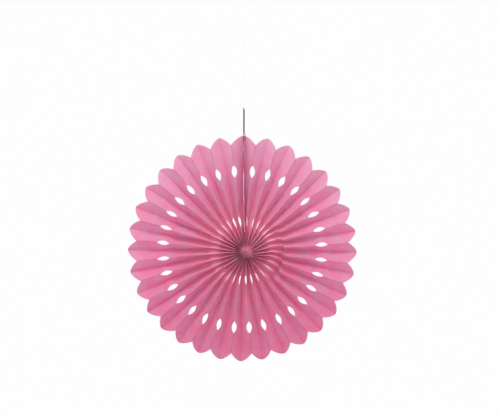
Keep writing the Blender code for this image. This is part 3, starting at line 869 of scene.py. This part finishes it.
def punch(mesh):
    """The hanger hole, through the right card and the half leaf that is glued to it."""
    length = 0.004
    start = 0.0002         # the left card is on the other side of the seam and stays whole
    bm = bmesh.new()
    bmesh.ops.create_cone(bm, cap_ends=True, segments=20, radius1=WIRE_HOLE_DIAMETER / 2,
                          radius2=WIRE_HOLE_DIAMETER / 2, depth=length)
    bmesh.ops.transform(bm, matrix=Matrix.Rotation(math.pi / 2, 4, "Y"), verts=bm.verts)
    bmesh.ops.translate(bm, verts=bm.verts, vec=CENTRE + Vector((start + length / 2, 0, HOLE_Z)))
    punch_mesh = bpy.data.meshes.new("punch")
    bm.to_mesh(punch_mesh)
    bm.free()
    cutter = bpy.data.objects.new("punch", punch_mesh)
    sheet = bpy.data.objects.new("punched", mesh)
    for made in (cutter, sheet):
        bpy.context.scene.collection.objects.link(made)
    cut = sheet.modifiers.new("hole", "BOOLEAN")
    cut.operation = "DIFFERENCE"
    cut.object = cutter
    punched = as_mesh(sheet)
    bpy.data.objects.remove(cutter, do_unlink=True)
    return punched


def thicken(piece, thickness):
    """A wall that grows to both sides of the sheet."""
    wall = piece.modifiers.new("thickness", "SOLIDIFY")
    wall.thickness = thickness
    wall.offset = 0


def make_leaf(number):
    """One leaf of tissue, folded down its middle."""
    name = f"tissue_leaf_{number:02d}"
    if 1 < number <= PETALS:
        body, angle, place = f"leaf_{number:02d}_body", leaf_angle(number), partial(whole_leaf_point, number)
    elif number == 1:
        body, angle, place = "right_end", 0.0, partial(end_leaf_point, 1)
    else:
        body, angle, place = "left_end", 0.0, partial(end_leaf_point, -1)
    mesh = shaped_sheet(name, LEAF_COLUMNS, LEAF_ROWS, LEAF_PETAL_ROWS, leaf_width, petal_end, place,
                        number <= PETALS)
    if number == 1:
        mesh = punch(mesh)
    piece = add_piece(name, mesh, TISSUE_PAPER, "tissue", body, f"leaf_{number:02d}")
    thicken(piece, TISSUE)
    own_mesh(piece)


# ---- Cards and core thread -----------------------------------------------------------------------------

CARD_ROWS = stations([(CARD_START, 0.0425, 0.002), (0.0425, 0.0617, 0.0015), (0.0617, LENS_START, 0.006),
                      (LENS_START, 0.152, 0.0015), (0.152, PETAL_START, 0.0025)])
CARD_PETAL_ROWS = 5
CARD_MARGIN_SHARE = CARD_MARGIN / PLEAT_DEPTH
CARD_COLUMNS = [CARD_MARGIN_SHARE + (1 - 2 * CARD_MARGIN_SHARE) * i / 12 for i in range(13)]


def make_card(side, name, body, node):
    """An end card, cut like half a leaf but a little smaller: side 1 on the right and -1 on the left."""
    mesh = shaped_sheet(
        name, CARD_COLUMNS, CARD_ROWS, CARD_PETAL_ROWS,
        lambda along: min(1.0, leaf_width(along) / CARD_COLUMNS[-1]),
        lambda share: petal_end(share) - CARD_MARGIN,
        lambda across, along: seam_point(side, across, along, CARD / 2), side < 0)
    if side > 0:
        mesh = punch(mesh)
    piece = add_piece(name, mesh, DYED_CARD, "card", body, node)
    thicken(piece, CARD)
    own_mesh(piece)


def make_core_thread():
    """The thread that ties the leaves' inner ends: three turns drawn tight at the core."""
    turns = []
    for i in range(3 * 24 + 1):
        turn = i / 24
        angle = 2 * math.pi * turn
        turns.append(CENTRE + Vector((TIE_RADIUS * math.cos(angle), TIE_SPACING * (turn - 1),
                                      TIE_RADIUS * math.sin(angle))))
    tight = THREAD * 0.9
    mesh = tube("core_ties", plies(turns, tight, THREAD_TWIST, PLY_STEP), tight / 2, 2)
    add_piece("core_ties", mesh, COTTON, "thread", "right_end", "core_thread")


# ---- Floor and light -----------------------------------------------------------------------------------

def make_floor():
    """A round pale floor, below the hanging fan."""
    bm = bmesh.new()
    bmesh.ops.create_circle(bm, cap_ends=True, segments=96, radius=2.4)
    bmesh.ops.translate(bm, verts=bm.verts, vec=(0, 0, CAD_BOX[0].z - 0.55))
    mesh = bpy.data.meshes.new("floor")
    bm.to_mesh(mesh)
    bm.free()
    floor = bpy.data.objects.new("floor", mesh)
    bpy.context.scene.collection.objects.link(floor)
    mesh.materials.append(limewashed_floor())


def make_world():
    """A white room: what the camera sees of it is plain white, and it lights more from above."""
    world = bpy.data.worlds.new("white_room")
    bpy.context.scene.world = world
    world.use_nodes = True
    tree = world.node_tree
    tree.nodes.clear()
    where = add_node(tree, "TexCoord").outputs["Generated"]
    height = add_node(tree, "SeparateXYZ", Vector=where).outputs[2]
    above = add_node(tree, "MapRange", {"interpolation_type": "SMOOTHSTEP"}, Value=height, From_Min=-0.9,
                     From_Max=0.9)
    shade = add_node(tree, "Mix", {"data_type": "RGBA"}, i0=above, i6=(0.36, 0.36, 0.37, 1.0),
                     i7=(1.0, 1.0, 1.0, 1.0)).outputs[2]
    fill = add_node(tree, "Background", Color=shade, Strength=0.86)
    plain = add_node(tree, "Background", Color=(0.99, 0.99, 0.99, 1.0), Strength=1.0)
    seen = add_node(tree, "LightPath").outputs["Is Camera Ray"]
    both = add_node(tree, "MixShader", i0=seen, i1=fill, i2=plain)
    add_node(tree, "OutputWorld", Surface=both)


def make_light(name, place, size, power):
    """A round softbox at a place measured from the middle of the fan, and aimed at it."""
    data = bpy.data.lights.new(name, "AREA")
    data.shape = "DISK"
    data.size = size
    data.energy = power
    light = bpy.data.objects.new(name, data)
    bpy.context.scene.collection.objects.link(light)
    light.location = CENTRE + Vector(place)
    light.rotation_euler = (-Vector(place)).to_track_quat("-Z", "Y").to_euler()


bpy.context.scene.view_settings.view_transform = "Standard"
make_floor()
make_world()
make_light("key_softbox", (-0.30, -1.6, 2.0), 1.0, 29)
make_light("front_softbox", (0.25, -2.9, 0.5), 0.9, 19)

# ---- The object ----------------------------------------------------------------------------------------

make_loop(make_knot())
make_wire()
for leaf_number in range(1, PETALS + 2):
    make_leaf(leaf_number)
make_card(1, "card_right", "right_end", "end_card_right")
make_card(-1, "card_left", "left_end", "end_card_left")
make_core_thread()
tape = frame["nodes"]["seam_tape"]
tape.data.materials.clear()
tape.data.materials.append(TAPE)
